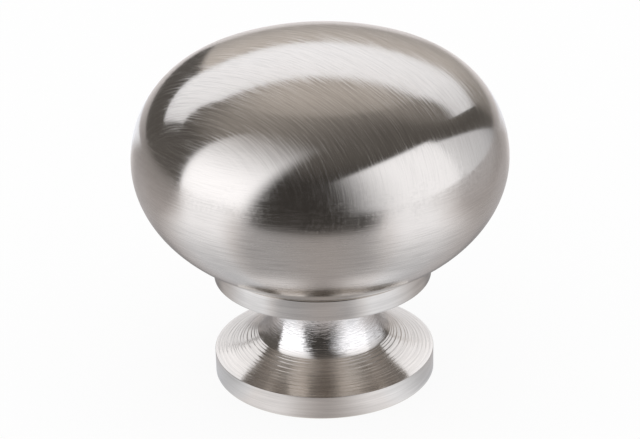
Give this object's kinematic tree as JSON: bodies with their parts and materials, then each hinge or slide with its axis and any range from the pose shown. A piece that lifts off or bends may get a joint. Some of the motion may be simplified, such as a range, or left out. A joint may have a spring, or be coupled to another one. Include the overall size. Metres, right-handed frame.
{
  "type": "cabinet knob",
  "caption": "Mushroom-shaped cabinet or drawer knob: a hollow oval head crimped on a turned base with collar, cove neck and round foot, held by a screw from behind the door or drawer front.",
  "frame": {"origin": "centre of the foot's bearing face, where the knob meets the door or drawer front", "axes": "+Z along the knob's axis, from the foot out to the crown of the head"},
  "size_m": [0.0318, 0.0318, 0.0302],
  "materials": {
    "brushed_head": "satin",
    "turned_base": "satin"
  },
  "bodies": {
    "root": {"head": "brushed_head", "base": "turned_base"}
  },
  "joints": []
}
